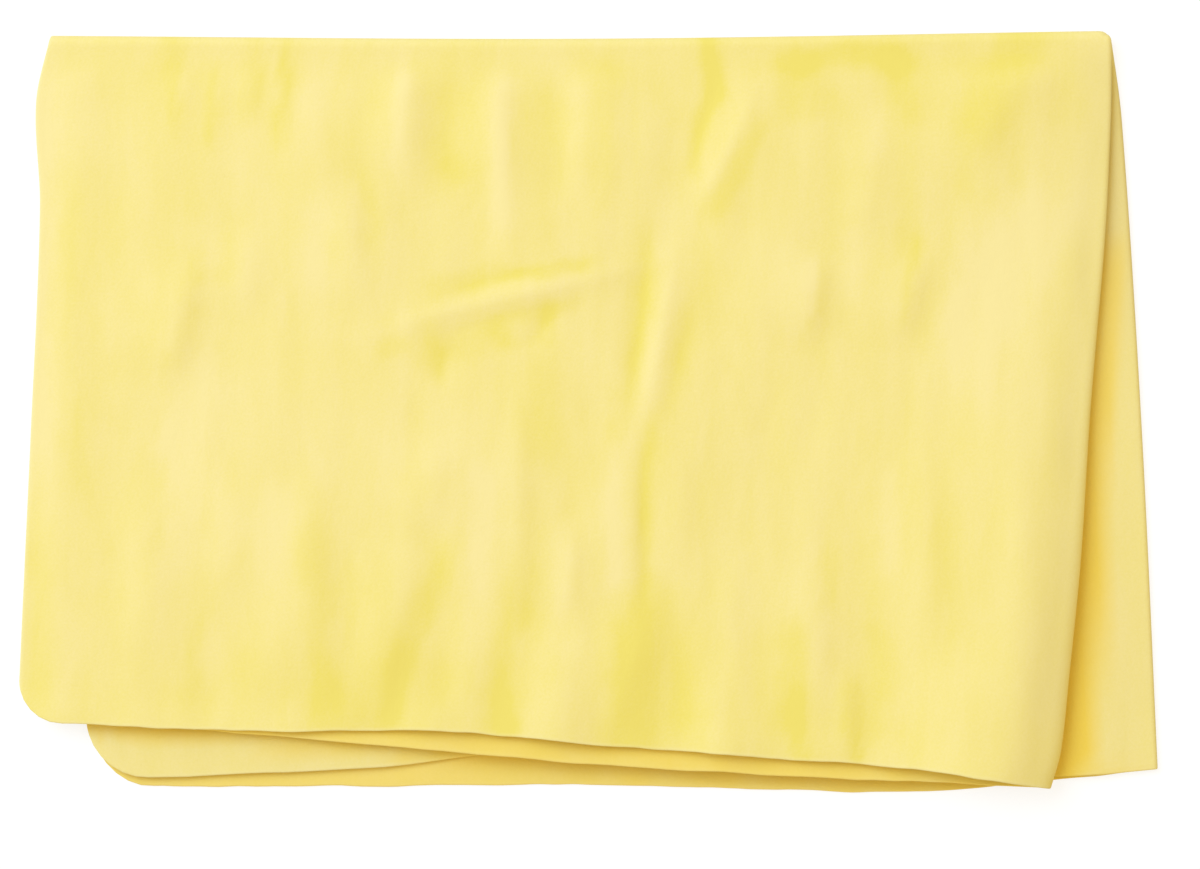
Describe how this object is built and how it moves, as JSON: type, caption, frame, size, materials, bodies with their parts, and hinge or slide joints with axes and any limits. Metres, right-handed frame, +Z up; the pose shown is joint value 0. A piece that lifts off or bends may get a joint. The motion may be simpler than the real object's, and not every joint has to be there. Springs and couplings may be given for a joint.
{
  "type": "synthetic chamois cloth",
  "caption": "Pale yellow synthetic chamois cloth, folded in quarters and lying flat, whose front half opens about its top fold.",
  "frame": {"origin": "under the middle of the folded cloth's bounding box, on the surface that it lies on", "axes": "+X along the top fold, towards the side fold; +Y across the top fold and out of the cloth; +Z up"},
  "size_m": [0.3436, 0.2282, 0.0126],
  "materials": {
    "chamois": "matte felted sponge cloth"
  },
  "bodies": {
    "back_half": {"back_outer_leaf": "chamois", "back_inner_leaf": "chamois", "back_side_fold": "chamois", "outer_top_fold": "chamois", "inner_top_fold": "chamois", "centre_corner": "chamois"},
    "front_half": {"front_outer_leaf": "chamois", "front_inner_leaf": "chamois", "front_side_fold": "chamois"}
  },
  "joints": [
    {"name": "top_fold", "type": "hinge", "parent": "back_half", "child": "front_half", "pos_m": [0.1575, 0.1142, 0.0034], "axis": [-1, 0, 0], "range_deg": [0, 179], "deforming": ["outer_top_fold", "inner_top_fold", "centre_corner"]}
  ]
}
